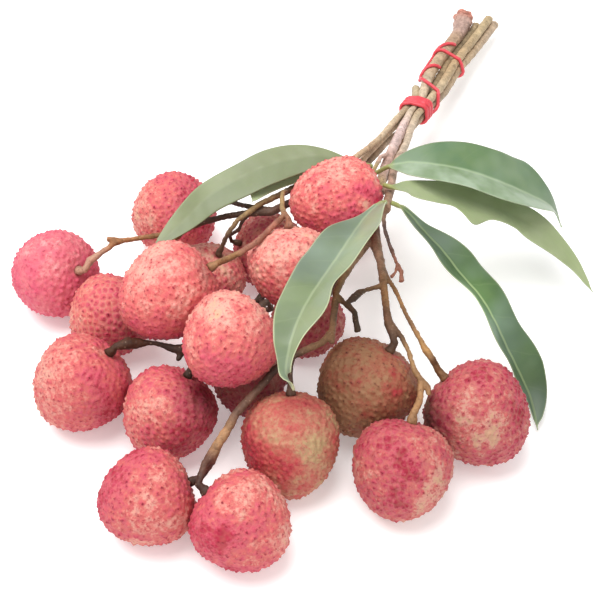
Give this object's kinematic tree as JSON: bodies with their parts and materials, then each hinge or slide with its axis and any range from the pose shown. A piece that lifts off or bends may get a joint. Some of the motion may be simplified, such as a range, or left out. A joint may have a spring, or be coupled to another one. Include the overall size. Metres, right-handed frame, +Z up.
{
  "type": "bunch of lychees",
  "caption": "Picked bunch of ripe lychees on woody twigs with long pointed leaves, tied with a red rubber band and lying on a surface.",
  "frame": {"origin": "middle of the footprint, on the surface the bunch lies on", "axes": "+Z up; +Y along the tied twigs, from the heap of fruits to the cut ends; +X to the right seen from the fruit end"},
  "size_m": [0.2088, 0.2966, 0.0682],
  "materials": {
    "fruit_skin": "bumpy matt rind, rose red with salmon and cream patches",
    "fruit_skin_tan": "bumpy matt rind, tan brown with red patches",
    "twig_bark": "dry brown bark with paler specks",
    "leaf_green": "waxy green blade with a bluish bloom",
    "leaf_olive": "dull olive green blade",
    "band_rubber": "soft satin red rubber"
  },
  "bodies": {
    "root": {"fruit_01": "fruit_skin", "fruit_02": "fruit_skin", "fruit_03": "fruit_skin", "fruit_04": "fruit_skin", "fruit_05": "fruit_skin", "fruit_06": "fruit_skin", "fruit_07": "fruit_skin", "fruit_08": "fruit_skin", "fruit_09": "fruit_skin", "fruit_10": "fruit_skin_tan", "fruit_11": "fruit_skin", "fruit_12": "fruit_skin", "fruit_13": "fruit_skin_tan", "fruit_14": "fruit_skin", "fruit_15": "fruit_skin", "fruit_16": "fruit_skin", "fruit_17": "fruit_skin", "fruit_18": "fruit_skin", "fruit_19": "fruit_skin", "fruit_20": "fruit_skin", "stem_1": "twig_bark", "stem_2": "twig_bark", "stem_3": "twig_bark", "stem_4": "twig_bark", "stem_5": "twig_bark", "stem_6": "twig_bark", "leaf_1": "leaf_olive", "leaf_2": "leaf_olive", "leaf_3": "leaf_green", "leaf_4": "leaf_olive", "leaf_5": "leaf_green", "leaf_6": "leaf_green", "rubber_band": "band_rubber"}
  },
  "joints": []
}
